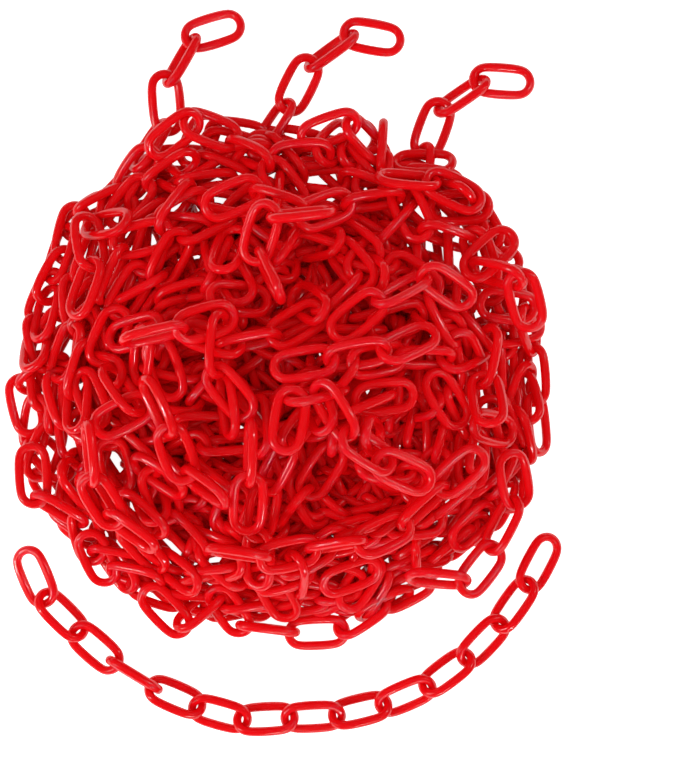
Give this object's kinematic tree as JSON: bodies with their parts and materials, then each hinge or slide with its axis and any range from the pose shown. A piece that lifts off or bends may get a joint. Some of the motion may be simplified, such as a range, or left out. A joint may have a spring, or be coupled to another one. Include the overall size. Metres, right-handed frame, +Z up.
{
  "type": "heap of plastic barrier chain",
  "caption": "Tangled heap of moulded plastic barrier chain lying on the floor, with chain ends running out of it and a short cut length lying in an arc beside it.",
  "frame": {"origin": "middle of the whole lot's footprint, on the floor it lies on", "axes": "+Z up from the floor; +Y from the arc of cut length towards the three chain ends"},
  "size_m": [0.454, 0.5889, 0.1212],
  "materials": {
    "chain": "gloss"
  },
  "bodies": {
    "root": {"cut_length_link_01": "chain", "cut_length_link_02": "chain", "cut_length_link_03": "chain", "cut_length_link_04": "chain", "cut_length_link_05": "chain", "cut_length_link_06": "chain", "cut_length_link_07": "chain", "cut_length_link_08": "chain", "cut_length_link_09": "chain", "cut_length_link_10": "chain", "cut_length_link_11": "chain", "cut_length_link_12": "chain", "cut_length_link_13": "chain", "cut_length_link_14": "chain", "heap_core": "chain", "left_end_link_01": "chain", "left_end_link_02": "chain", "left_end_link_03": "chain", "left_end_link_04": "chain", "middle_end_link_01": "chain", "middle_end_link_02": "chain", "middle_end_link_03": "chain", "middle_end_link_04": "chain", "middle_end_link_05": "chain", "middle_end_link_06": "chain", "right_end_link_01": "chain", "right_end_link_02": "chain", "right_end_link_03": "chain", "right_end_link_04": "chain", "strand_bottom_rim": "chain", "strand_centre_link": "chain", "strand_crest": "chain", "strand_diagonal": "chain", "strand_front_link": "chain", "strand_left_face": "chain", "strand_left_inner": "chain", "strand_left_lower": "chain", "strand_left_outer": "chain", "strand_left_rim": "chain", "strand_left_shoulder": "chain", "strand_lower_left_rim": "chain", "strand_lower_right_rim": "chain", "strand_lower_ring": "chain", "strand_lower_sweep": "chain", "strand_middle": "chain", "strand_right_face": "chain", "strand_right_inner": "chain", "strand_right_rim": "chain", "strand_right_shoulder": "chain", "strand_saddle": "chain", "strand_top_fan": "chain", "strand_top_left_rim": "chain", "strand_top_rim": "chain", "strand_upper_left_rim": "chain", "strand_upper_middle": "chain", "strand_upper_right_rim": "chain"}
  },
  "joints": []
}
